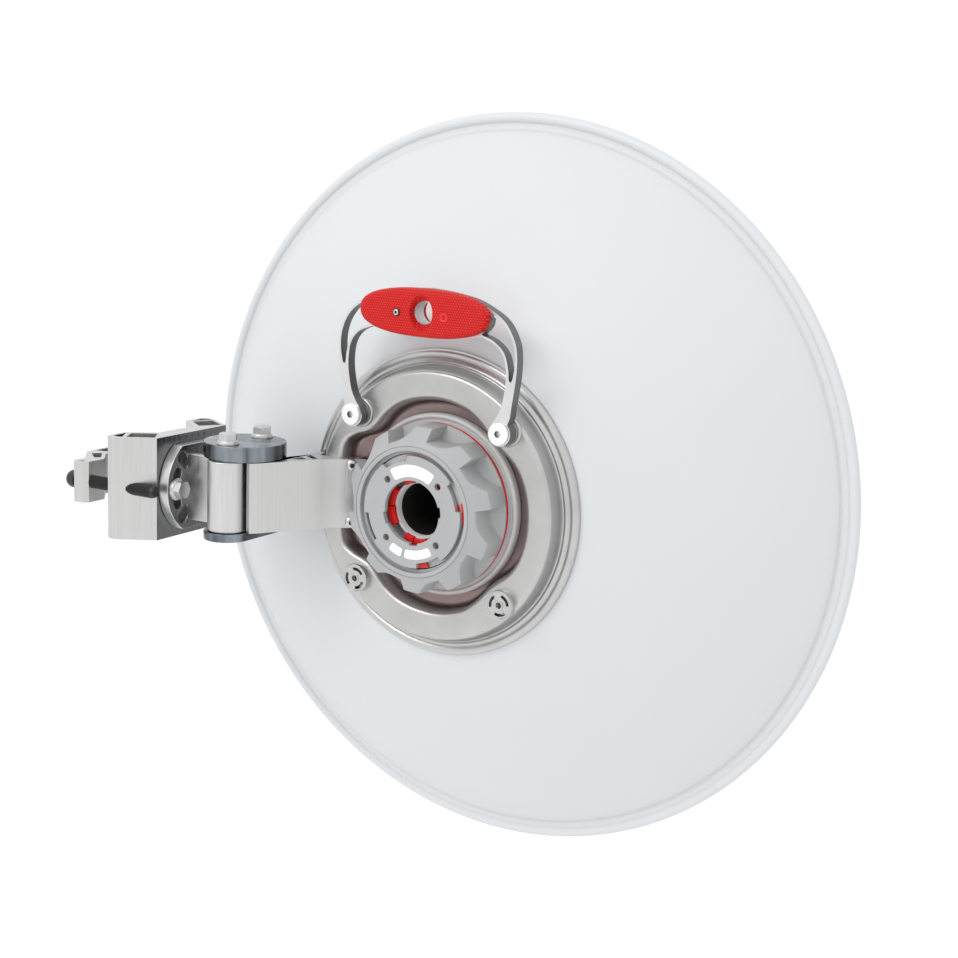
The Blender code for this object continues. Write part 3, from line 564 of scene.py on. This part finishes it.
def build_handle():
    foot = polar(0.0938, 45)
    foot_arc = arc(foot, 0.0096, 55, -190, 28)
    half = smooth_loop(HANDLE_OUTER, 3, False) + foot_arc[1:-1] + smooth_loop(HANDLE_INNER, 3, False)
    outline = half[:-1] + [(-x, y) for x, y in reversed(half[1:])]
    window = smooth_loop(HANDLE_WINDOW, 3)
    grip_hole = circle((0, GRIP_Z), 0.0090, 48)
    frame_bm = slab(outline, 0.1260, 0.1350, [window, [(-x, y) for x, y in window], grip_hole])
    add("handle_casting", side_faces_second(frame_bm), HANDLE_CAST, "dish", DISH_AXIS, BACKWARD,
        ("handle_frame",), bevel=0.0005, sharp=40, segments=2, more=(HANDLE_SIDE_SHADE,))

    build_grip_shell("back", 0.1353, 1.0, BACK_EDGE, BACK_EYE)
    build_grip_shell("front", 0.1257, -1.0, FRONT_EDGE, FRONT_EYE)
    eye = turned([(0.0085, 0.1260), (0.0091, 0.1260), (0.0091, 0.1380), (0.0085, 0.1384)], 64)
    add("grip_eye", eye, HANDLE_CAST, "dish", DISH_AXIS + Vector((0, 0, GRIP_Z)), BACKWARD, sharp=40)
    screw = turned([(0.0032, 0.0001), (0.0030, 0.0006), (0.0026, 0.0007), (0.0025, 0.0002),
                    (0.0023, 0.0002), (0.0022, 0.0011), (0.0018, 0.0013), (0.0011, 0.0012),
                    (0.0010, -0.0002), (0.0, -0.0002)], 32, closed=False)
    # The outer ring and the central recess take the black; in the recess it is painted shade.
    for face in screw.faces:
        middle = face.calc_center_median()
        ring = math.hypot(middle.x, middle.y)
        face.material_index = 0 if 0.00135 < ring < 0.0023 else 1
    add("grip_screw", screw, ZINC, "dish", DISH_AXIS + Vector((-0.0215, -0.1433, 0.1497)), BACKWARD,
        more=(BLACK_AND_RECESS_SHADE,))
    dimple = turned([(0.0036, 0.0001), (0.0033, 0.0005), (0.0030, 0.0004), (0.0024, 0.0001),
                     (0.0012, -0.0001), (0.0, -0.0001)], 32, closed=False)
    add("grip_dimple", dimple, RED, "dish", DISH_AXIS + Vector((0.0203, -0.1433, 0.1492)), BACKWARD)

    for name, side in (("handle_bolt_right", 1), ("handle_bolt_left", -1)):
        head = turned([(0.0083, 0.1353), (0.0083, 0.1368), (0.0081, 0.1372), (0.0078, 0.1373),
                       (0.0077, 0.1370), (0.0075, 0.1370), (0.0074, 0.1374), (0.0036, 0.1375)], 48,
                      closed=False)
        socket = [[(*p, b) for p in hexagon_ring(0.0050, r, 48)] for r, b in
                  ((0.0036, 0.1375), (0.0, 0.1374), (0.0, 0.1345))]
        hole = loft(socket, cap_start=False, cap_end=True)
        place = DISH_AXIS + Vector((side * foot[0], 0, foot[1]))
        # The hex socket's walls and floor take the darker copy, painted shade in the recess.
        for face in hole.faces:
            face.material_index = 1 if face.calc_center_median().z < 0.1374 else 0
        add("screw_" + name, merged(head, hole), BOLT_FACE, "dish", place, BACKWARD, (name,), sharp=35,
            more=(HANDLE_SIDE_SHADE,))


def hexagon_ring(across_flats, radius, steps):
    """A circle of the given radius, or with radius 0 a hexagon, sampled by angle."""
    ring = []
    for i in range(steps):
        degrees = 360.0 * i / steps
        if radius > 0.0:
            reach = radius
        else:
            reach = across_flats / 2 / math.cos(math.radians((degrees % 60.0) - 30.0))
        ring.append(polar(reach, degrees))
    return ring


# Feed port

FACE_HOLE = [(-2.0, 16.0, 0.0259), (16.4, 186.6, 0.0243), (187.0, 208.0, 0.0259), (208.4, 266.6, 0.0243),
             (267.0, 283.0, 0.0259), (283.4, 357.6, 0.0243)]
INNER_LATCHES = [(145, 178, 0.0222, 0.0262), (180, 213, 0.0212, 0.0270), (242, 262, 0.0212, 0.0262),
                 (264, 289, 0.0222, 0.0275), (101, 121, 0.0212, 0.0250), (20, 60, 0.0222, 0.0262)]
OUTER_TABS = [(76, 102, 0.0418, 0.0430), (-5, 16, 0.0430, 0.0447), (8, 15, 0.0375, 0.0400),
              (-86, -71, 0.0403, 0.0435)]


def build_port():
    flange = [(0.0300, 0.1063), (0.0714, 0.1063), (0.0714, 0.1098), (0.0711, 0.1110), (0.0704, 0.1119),
              (0.0696, 0.1124), (0.0688, 0.1125), (0.0680, 0.1122), (0.0675, 0.1114), (0.0672, 0.1104),
              (0.0654, 0.1102), (0.0650, 0.1106), (0.0650, 0.1131), (0.0647, 0.1135), (0.0440, 0.1135),
              (0.0440, 0.1425), (0.0300, 0.1425)]
    add("port_flange", turned(flange, 144), FLANGE, "dish", DISH_AXIS, BACKWARD, ("port_adaptor",), sharp=40)
    seam = [(0.0610, 0.1138), (0.0644, 0.1138), (0.0650, 0.1142), (0.0652, 0.1152), (0.0650, 0.1162),
            (0.0644, 0.1166), (0.0610, 0.1166)]
    add("seam", turned(seam, 144), RED, "dish", DISH_AXIS, BACKWARD, ("seam_ring",), sharp=40)

    face = []
    for start in range(0, 360, 90):
        face += arc((0, 0), 0.0393, start + 8.5, start + 38.0, 8)
        face += arc((0, 0), 0.0433, start + 39.0, start + 97.5, 16)
    hole = []
    for start, end, radius in FACE_HOLE:
        hole += arc((0, 0), radius, start, end, max(2, round((end - start) / 6)))
    holes = [circle(polar(0.0319, d), 0.0027, 24) for d in (45, 135, 225, 315)]
    add("face_disc", slab(face, 0.1445, 0.1485, [hole, *holes]), HUB, "dish", DISH_AXIS, BACKWARD,
        ("face_plate",), bevel=0.0003)
    sink = turned([(0.0245, 0.1300), (0.0440, 0.1300)], 96, closed=False)
    add("port_floor", sink, HUB, "dish", DISH_AXIS, BACKWARD)

    pads = []
    for r0, r1, a0, a1 in ((0.0272, 0.0366, 57, 124), (0.0300, 0.0368, 237.5, 256.5),
                           (0.0293, 0.0364, 261, 302.5)):
        pads.append(rounded_sector(r0, r1, a0, a1, 0.1486, 0.1487))
    add("blank_labels", merged(*pads), LABEL, "dish", DISH_AXIS, BACKWARD)

    segments = []
    for start, end, inner, outer in INNER_LATCHES:
        outline = arc((0, 0), outer, start, end, 10) + arc((0, 0), inner, end, start, 10)
        segments.append(slab(outline, 0.1290, 0.1400))
    for start, end, inner, outer in OUTER_TABS:
        outline = arc((0, 0), outer, start, end, 10) + arc((0, 0), inner, end, start, 10)
        segments.append(slab(outline, 0.1426, 0.1452))
    add("latch_segments", merged(*segments), RED, "dish", DISH_AXIS, BACKWARD, ("latch_ring",), bevel=0.0003)

    tip = BOWL_DEPTH - WALL_R ** 2 / (4 * BOWL_DEPTH)
    tube = [(0.0205, tip + 0.040), (0.0228, tip + 0.040), (0.0228, 0.1366), (0.0224, 0.1370), (0.0210, 0.1370),
            (0.0205, 0.1364)]
    add("waveguide_tube", turned(tube, 96), TUBE_PAINTED_LIGHT, "dish", DISH_AXIS, BACKWARD, ("feed_tube",), sharp=40)
    # A near-black sheet inside the tube below the mouth and across its floor: painted shade in the deep bore.
    bore_shade_sheet = [(0.0205, 0.1308), (0.0202, 0.1305), (0.0200, 0.1296), (0.0200, 0.0094), (0.0, 0.0094)]
    add("waveguide_bore_shade", turned(bore_shade_sheet, 64, closed=False), BORE_SHADE, "dish", DISH_AXIS, BACKWARD)
    cone = [(0, tip), (0.0440, tip), (0.0440, tip + 0.0034), (0.0432, tip + 0.0050), (0.0330, tip + 0.0180),
            (0.0262, tip + 0.0290), (0.0234, tip + 0.0370), (0.0229, tip + 0.0397), (0, tip + 0.0397)]
    add("dielectric_cone", turned(cone, 96), WHITE, "dish", DISH_AXIS, BACKWARD, ("feed_cone",), sharp=40)
    disc = [(0, tip - 0.0040), (0.0425, tip - 0.0040), (0.0440, tip - 0.0034), (0.0450, tip - 0.0020),
            (0.0450, tip - 0.0003), (0, tip - 0.0003)]
    add("splash_plate", turned(disc, 96), EXTRUDED, "dish", DISH_AXIS, BACKWARD, ("sub_reflector",), sharp=40)


def rounded_sector(r0, r1, a0, a1, low, high):
    """A ring sector with rounded corners."""
    radius = 0.0016
    outline = []
    for r, start, end, inward in ((r1, a0, a1, -1), (r0, a1, a0, 1)):
        pad = math.degrees(radius / r) * (1 if end > start else -1)
        soft = r + inward * radius
        outline.append(polar(soft, start))
        outline.append(polar(r + inward * radius * 0.3, start + 0.3 * pad))
        outline += arc((0, 0), r, start + pad, end - pad, 16)
        outline.append(polar(r + inward * radius * 0.3, end - 0.3 * pad))
        outline.append(polar(soft, end))
    return slab(outline, low, high)


SCOOP_EDGE = [(0.35, 55.5), (3.5, 55.3), (7.0, 55.3), (9.5, 55.5), (12.0, 56.0), (14.0, 56.7), (16.0, 57.7),
              (18.0, 59.2), (20.0, 60.9), (21.8, 62.9), (23.5, 65.0)]
RING_LAND = [(24.5, 65.0), (26.5, 65.0), (29.0, 65.0), (32.0, 65.0), (34.5, 65.0), (36.0, 65.0)]
SCOOP_CORNER = 8.4
RING_OUTER = 0.0652


def ring_front(radius):
    """Conical front of the lock ring."""
    return 0.1490 - 0.66 * (radius - 0.0505)


def scoop_floor(radius):
    return 0.1185 + 0.58 * (RING_OUTER - radius)


def build_lock_ring():
    edge = [(SCOOP_CORNER - 36.0 * i - turn, radius * MM)
            for i in range(10) for turn, radius in SCOOP_EDGE + RING_LAND]
    base = 0.1169

    def flat(radius, back):
        return [(*polar(radius, turn), back) for turn, _ in edge]

    def near_edge(step, height):
        loop = []
        for turn, radius in edge:
            r = min(radius + step, RING_OUTER)
            loop.append((*polar(r, turn), height(r)))
        return loop

    loops = [flat(0.0447, base), flat(0.0447, 0.1446), flat(0.0470, 0.1446), flat(0.0470, 0.1486),
             flat(0.0473, 0.1490), flat(0.0499, 0.1490), flat(0.0502, 0.1488), flat(0.0503, 0.1483),
             flat(0.0506, 0.1483), flat(0.0507, 0.1489)]
    for share in (0.33, 0.66):
        radii = [0.0507 + (radius - 0.0507) * share for _, radius in edge]
        loops.append([(*polar(r, turn), ring_front(r)) for r, (turn, _) in zip(radii, edge)])
    loops += [near_edge(-0.0009, ring_front),
              near_edge(-0.0003, lambda r: ring_front(r) - 0.0002),
              near_edge(0.0, lambda r: ring_front(r) - 0.0010),
              near_edge(0.0, lambda r: scoop_floor(r) + 0.0014),
              near_edge(0.0003, lambda r: scoop_floor(r) + 0.0005),
              near_edge(0.0013, scoop_floor),
              flat(RING_OUTER, 0.1183), flat(RING_OUTER, base + 0.0003), flat(RING_OUTER - 0.0003, base),
              flat(0.0447, base)]
    add("twist_ring", loft(loops, cap_start=False, cap_end=False), HUB, "ring", DISH_AXIS, BACKWARD,
        ("lock_ring",), sharp=30)


# Arm and hinge

def hex_head(across_flats, low, high, steps=72):
    """Hex head with a turned chamfer."""
    flat = across_flats / 2
    loops = [[], [], []]
    for i in range(steps):
        degrees = 360.0 * i / steps
        reach = flat / math.cos(math.radians((degrees % 60.0) - 30.0))
        loops[0].append((*polar(reach, degrees), low))
        loops[1].append((*polar(reach, degrees), high - max(0.0, reach - flat * 0.97) * 0.60))
        loops[2].append((*polar(flat * 0.93, degrees), high))
    return loft(loops, cap_start=False, cap_end=True)


def flange_bolt_mesh():
    """M8 hex flange head on a spring washer and flat washer."""
    skirt = turned([(0.0, 0.0), (0.0088, 0.0), (0.0088, 0.0010), (0.0084, 0.0013), (0.0081, 0.0014),
                    (0.0081, 0.0019), (0.0078, 0.0024), (0.0071, 0.0031), (0.0060, 0.0034), (0.0, 0.0034)], 64)
    return merged(skirt, hex_head(0.0130, 0.0020, 0.0086))


def torx_mesh(radius, high):
    """Button head with a six-lobed recess."""
    steps = 48
    angles = [360.0 * i / steps for i in range(steps)]
    loops = []
    for share, b in ((1.0, 0.0), (1.0, 0.25), (0.93, 0.55), (0.78, 0.82), (0.62, 0.96)):
        loops.append([(*polar(radius * share, a), high * b) for a in angles])
    for share, b in ((1.0, 1.0), (0.94, 0.96), (0.92, 0.30)):
        loops.append([(*polar(radius * 0.40 * share * (1 + 0.13 * math.cos(math.radians(6 * a))), a), high * b)
                      for a in angles])
    return loft(loops, cap_start=False, cap_end=True)


def build_arm():
    near_bolt = (DISC[0], -HINGE_BOLT_Y)
    outline = arc(DISC, 0.0325, NOSE_ANGLE, -29.5, 8)
    outline += [(0.1237, 0.0285), (0.1332, 0.0383), (0.1502, 0.0509), (0.1486, 0.0530),
                (0.1315, PLATEAU_Y - 0.0006), (0.1108, PLATEAU_Y - 0.0006), (0.1071, 0.0560),
                (0.1025, 0.0560), (0.1025, 0.0), (0.0985, 0.0155), (0.0890, 0.0285)]
    outline += arc((DISC[0], HINGE_BOLT_Y), 0.0170, 50, 190, 24)
    outline += arc(near_bolt, BARREL_R + 0.0026, 105, 0, 24)
    cells = [[(0.1055, 0.0125), (0.1145, 0.0215), (0.1055, 0.0265)],
             [(0.1055, 0.0320), (0.1175, 0.0255), (0.1195, 0.0290), (0.1055, 0.0390)]]
    add("arm_extrusion", slab(outline, -0.0277, 0.0277, cells), EXTRUDED, "dish", stands_for=("arm",),
        bevel=0.0004, sharp=20)
    face = math.radians(36.5)
    for name, z in (("arm_screw_top", 0.0230), ("arm_screw_bottom", -0.0230)):
        spot = Vector((0.1415, 0.0444, z)) + 0.0002 * Vector((math.sin(face), -math.cos(face), 0))
        screw = torx_mesh(0.0047, 0.0026)
        # The six-lobed recess takes the black, a painted shade.
        for part in screw.faces:
            middle = part.calc_center_median()
            part.material_index = 1 if math.hypot(middle.x, middle.y) < 0.0020 else 0
        add("torx_" + name, screw, ZINC, "dish", spot, (math.radians(90), 0, face), (name,), sharp=40,
            more=(BLACK_AND_RECESS_SHADE,))


def build_hinge():
    disc = slab(circle((0, 0), 0.0325, 96), 0.0280, 0.0400)
    add("disc", disc, DARK_STEEL, "dish", (DISC[0], 0, 0), stands_for=("hinge_disc",), bevel=0.0006, sharp=40,
        segments=3)
    outline = arc((0, -HINGE_BOLT_Y), 0.0185, 180, 360, 32) + arc((0, HINGE_BOLT_Y), 0.0185, 0, 180, 32)
    add("link_plate", slab(outline, -0.0345, -0.0280), DARK_STEEL, "dish", (DISC[0], 0, 0),
        stands_for=("hinge_link",), bevel=0.0005, sharp=40)
    for name, y in (("azimuth_pivot_bolt", -HINGE_BOLT_Y), ("azimuth_lock_bolt", HINGE_BOLT_Y)):
        shank = turned([(0.0, 0.0), (0.0040, 0.0), (0.0040, -0.0735), (0.0, -0.0735)], 32)
        nut = turned([(0.0, -0.0735), (0.0038, -0.0735), (0.0034, -0.0742), (0.0, -0.0742)], 32)
        add("bolt_" + name, merged(flange_bolt_mesh(), shank, nut), ZINC, "dish",
            (DISC[0], y, 0.0402), stands_for=(name,), sharp=32)


# Elevation bracket and clamp

QUADRANT_WINDOW = [(-0.0280, 0.0228), (-0.0271, 0.0262), (-0.0245, 0.0285), (-0.0214, 0.0286),
                   (-0.0183, 0.0266), (-0.0164, 0.0226), (-0.0163, 0.0180), (-0.0175, 0.0148),
                   (-0.0196, 0.0145), (-0.0224, 0.0172), (-0.0256, 0.0202)]


def build_bracket():
    top = 0.0335
    reach = math.degrees(math.asin(top / 0.0405))
    outline = arc((0, 0), 0.0405, 180 - reach, 180 + reach, 48) + [(0.0140, -top), (0.0140, top)]
    low, high, middle, half = 156.3, 203.7, 0.0306, 0.0043
    slot = arc((0, 0), middle + half, low, high, 20)
    slot += arc(polar(middle, high), half, high, high + 180, 12)[1:-1]
    slot += arc((0, 0), middle - half, high, low, 20)
    slot += arc(polar(middle, low), half, low + 180, low + 360, 12)[1:-1]
    upper = smooth_loop(QUADRANT_WINDOW, 3)
    plate = slab(outline, 0.0168, 0.0260, [slot, upper, [(y, -z) for y, z in upper]])
    turn = Matrix.Rotation(math.radians(90), 4, "Z") @ Matrix.Rotation(math.radians(90), 4, "X")
    bmesh.ops.transform(plate, matrix=turn, verts=plate.verts)
    barrel = slab(circle((DISC[0], -HINGE_BOLT_Y), BARREL_R, 64), -0.0277, 0.0277)
    web = slab([(0.0250, -0.0165), (0.0552, -0.0165), (0.0580, -0.0105), (0.0250, -0.0105)], -0.0265, 0.0265)
    add("bracket_casting", merged(right_faces_second(plate), barrel, web), BRACKET_METAL, "tilt",
        stands_for=("elevation_bracket",), bevel=0.0007, sharp=35, more=(BRACKET_SIDE_SHADE,))


def build_clamp():
    upper = [(0.0165, 0.0425), (-0.0092, 0.0585), (-0.0150, 0.0600), (-0.0195, 0.0588),
             (-0.0212, 0.0550), (-0.0212, 0.0370), (0.0, 0.0215)]
    outline = upper + [(x, -y) for x, y in reversed(upper)]
    cells = []
    for side in (1, -1):
        cells.append([(-0.0178, side * 0.0395), (-0.0178, side * 0.0540), (-0.0125, side * 0.0560),
                      (-0.0085, side * 0.0545)])
        cells.append([(-0.0060, side * 0.0528), (-0.0140, side * 0.0372), (0.0025, side * 0.0252),
                      (0.0128, side * 0.0407)])
    add("front_jaw", right_faces_second(slab(outline, -0.0408, 0.0408, cells)), EXTRUDED, "clamp",
        stands_for=("clamp_jaw_front",), bevel=0.0004, sharp=20, more=(EXTRUDED_SIDE_SHADE,))
    upper = [(-0.0430, 0.0550), (-0.0470, 0.0583), (-0.0550, 0.0590), (-0.0578, 0.0560), (-0.0578, 0.0435),
             (-0.0748, 0.0230), (-0.0765, 0.0150)]
    outline = upper + [(x, -y) for x, y in reversed(upper)]
    outline += [(-0.0430, -0.0370), (-0.0570, -0.0200), (-0.0570, 0.0200), (-0.0430, 0.0370)]
    cells = [[(-0.0737, 0.0135), (-0.0737, -0.0135), (-0.0640, -0.0120), (-0.0640, 0.0120)]]
    for side in (1, -1):
        cells.append([(-0.0675, side * 0.0252), (-0.0618, side * 0.0190), (-0.0494, side * 0.0340),
                      (-0.0530, side * 0.0380)])
        cells.append([(-0.0535, side * 0.0568), (-0.0462, side * 0.0548), (-0.0510, side * 0.0528)])
    add("rear_jaw", slab(outline, -0.0165, 0.0165, cells), EXTRUDED, "rear_jaw", stands_for=("clamp_jaw_rear",),
        bevel=0.0004, sharp=20)
    for side, name in ((1, "far"), (-1, "near")):
        profile = [(0, -0.0685), (0.0022, -0.0683), (0.0042, -0.0675), (0.0058, -0.0661), (0.0068, -0.0643),
                   (0.0073, -0.0618), (0.0073, -0.0581), (0.0051, -0.0581)]
        pitch = 0.00125
        count = int((0.0205 + 0.0581) / pitch)
        for i in range(count):
            x = -0.0581 + i * pitch
            profile += [(0.0052, x + 0.2 * pitch), (0.0052, x + 0.45 * pitch), (0.0047, x + 0.7 * pitch),
                        (0.0047, x + 0.85 * pitch)]
        profile += [(0.0050, 0.0205), (0.0040, 0.0225), (0, 0.0225)]
        add("clamp_rod_" + name, turned(profile, 40), BLACK_AND_RECESS_SHADE, "rear_jaw", (0, side * 0.0505, 0), CROSSWAYS,
            ("clamp_bolt_" + name,), sharp=50)
    for name, y in (("elevation_pivot_bolt", 0.0), ("elevation_lock_bolt", -0.0306)):
        add("bolt_" + name, flange_bolt_mesh(), ZINC, "clamp", (0.0262, y, 0), CROSSWAYS, (name,), sharp=32)


def number_mesh(text, size, place):
    """A plain number in local x, y, from the built-in font."""
    curve = bpy.data.curves.new("number", "FONT")
    curve.body = text
    curve.size = size
    curve.align_x = "CENTER"
    curve.extrude = 0.00004
    holder = bpy.data.objects.new("number", curve)
    bpy.context.scene.collection.objects.link(holder)
    bpy.context.view_layer.update()
    mesh = bpy.data.meshes.new_from_object(holder.evaluated_get(bpy.context.evaluated_depsgraph_get()))
    bm = bmesh.new()
    bm.from_mesh(mesh)
    bmesh.ops.translate(bm, verts=bm.verts, vec=(*place, 0))
    bpy.data.objects.remove(holder, do_unlink=True)
    bpy.data.meshes.remove(mesh)
    return bm


def build_degree_scale():
    """Elevation scale on the front jaw's side, above the quadrant."""
    step, low, high, depth = 0.00365, 0.0338, 0.0356, 0.00004
    marks = []
    for i in range(-4, 5):
        top = high if i % 2 == 0 else high - 0.0006
        y = i * step
        marks.append(slab([(y - 0.00025, low), (y + 0.00025, low), (y + 0.00025, top), (y - 0.00025, top)],
                          -depth, depth))
    for i, text in ((-4, "20"), (-2, "10"), (0, "0"), (2, "10"), (4, "20")):
        marks.append(number_mesh(text, 0.0036, (i * step, high + 0.0006)))
    add("degree_scale", merged(*marks), INK, "clamp", (0.0165 + 0.00006, 0, 0), CROSSWAYS)


# Stage

SKY_LOW, SKY_HIGH = 1.02, 1.16


def look_matrix(yaw, pitch, roll):
    forward = Vector((-math.sin(yaw) * math.cos(pitch), math.cos(yaw) * math.cos(pitch), math.sin(pitch)))
    right = Vector((math.cos(yaw), math.sin(yaw), 0.0))
    up = right.cross(forward)
    across = math.cos(roll) * right + math.sin(roll) * up
    upward = -math.sin(roll) * right + math.cos(roll) * up
    return Matrix((across, upward, -forward)).transposed()


def build_camera():
    data = bpy.data.cameras.new("camera")
    data.sensor_width = 36.0
    data.lens = 70.40
    camera = bpy.data.objects.new("camera", data)
    bpy.context.scene.collection.objects.link(camera)
    turn = look_matrix(math.radians(30.984), math.radians(-11.126), math.radians(1.970))
    camera.matrix_world = Matrix.Translation((0.9722, -1.1446, 0.3000)) @ turn.to_4x4()
    bpy.context.scene.camera = camera


def area_light(name, location, target, size, power, colour=(1, 1, 1)):
    data = bpy.data.lights.new(name, "AREA")
    data.shape = "RECTANGLE"
    data.size, data.size_y = size
    data.energy = power
    data.color = colour
    light = bpy.data.objects.new(name, data)
    bpy.context.scene.collection.objects.link(light)
    light.location = location
    aim = Vector(target) - Vector(location)
    light.rotation_euler = aim.to_track_quat("-Z", "Y").to_euler()


def build_world():
    """White studio, a little brighter overhead."""
    world = bpy.data.worlds.new("studio")
    bpy.context.scene.world = world
    world.use_nodes = True
    nodes, links = world.node_tree.nodes, world.node_tree.links
    nodes["Background"].inputs["Color"].default_value = (1, 1, 1, 1)
    where = nodes.new("ShaderNodeTexCoord")
    split = nodes.new("ShaderNodeSeparateXYZ")
    links.new(where.outputs["Generated"], split.inputs[0])
    overhead = nodes.new("ShaderNodeMapRange")
    overhead.interpolation_type = "SMOOTHSTEP"
    overhead.inputs["From Min"].default_value = 0.10
    overhead.inputs["From Max"].default_value = 0.85
    overhead.inputs["To Min"].default_value = SKY_LOW
    overhead.inputs["To Max"].default_value = SKY_HIGH
    links.new(split.outputs["Z"], overhead.inputs["Value"])
    links.new(overhead.outputs["Result"], nodes["Background"].inputs["Strength"])


def stage_item(name, bm, shade, location):
    mesh = bpy.data.meshes.new(name)
    bm.to_mesh(mesh)
    bm.free()
    material = bpy.data.materials.new(name)
    material.use_nodes = True
    shader = material.node_tree.nodes["Principled BSDF"]
    shader.inputs["Base Color"].default_value = (shade, shade, shade, 1)
    shader.inputs["Roughness"].default_value = 0.9
    mesh.materials.append(material)
    item = bpy.data.objects.new(name, mesh)
    item.location = location
    bpy.context.scene.collection.objects.link(item)


def build_stage():
    stage_item("floor", slab(circle((0, 0), 60.0, 64), -0.01, 0.0), 0.93, (0.2, 0.0, -0.95))
    build_world()
    area_light("key", (-0.6, -2.2, 1.9), (0.2, 0.1, 0.0), (1.4, 1.0), 24)
    bpy.context.scene.view_settings.view_transform = "Standard"


build_camera()
build_stage()
build_reflector()
build_plate()
build_bosses()
build_handle()
build_port()
build_lock_ring()
build_arm()
build_hinge()
build_bracket()
build_clamp()
build_degree_scale()

bpy.context.view_layer.update()
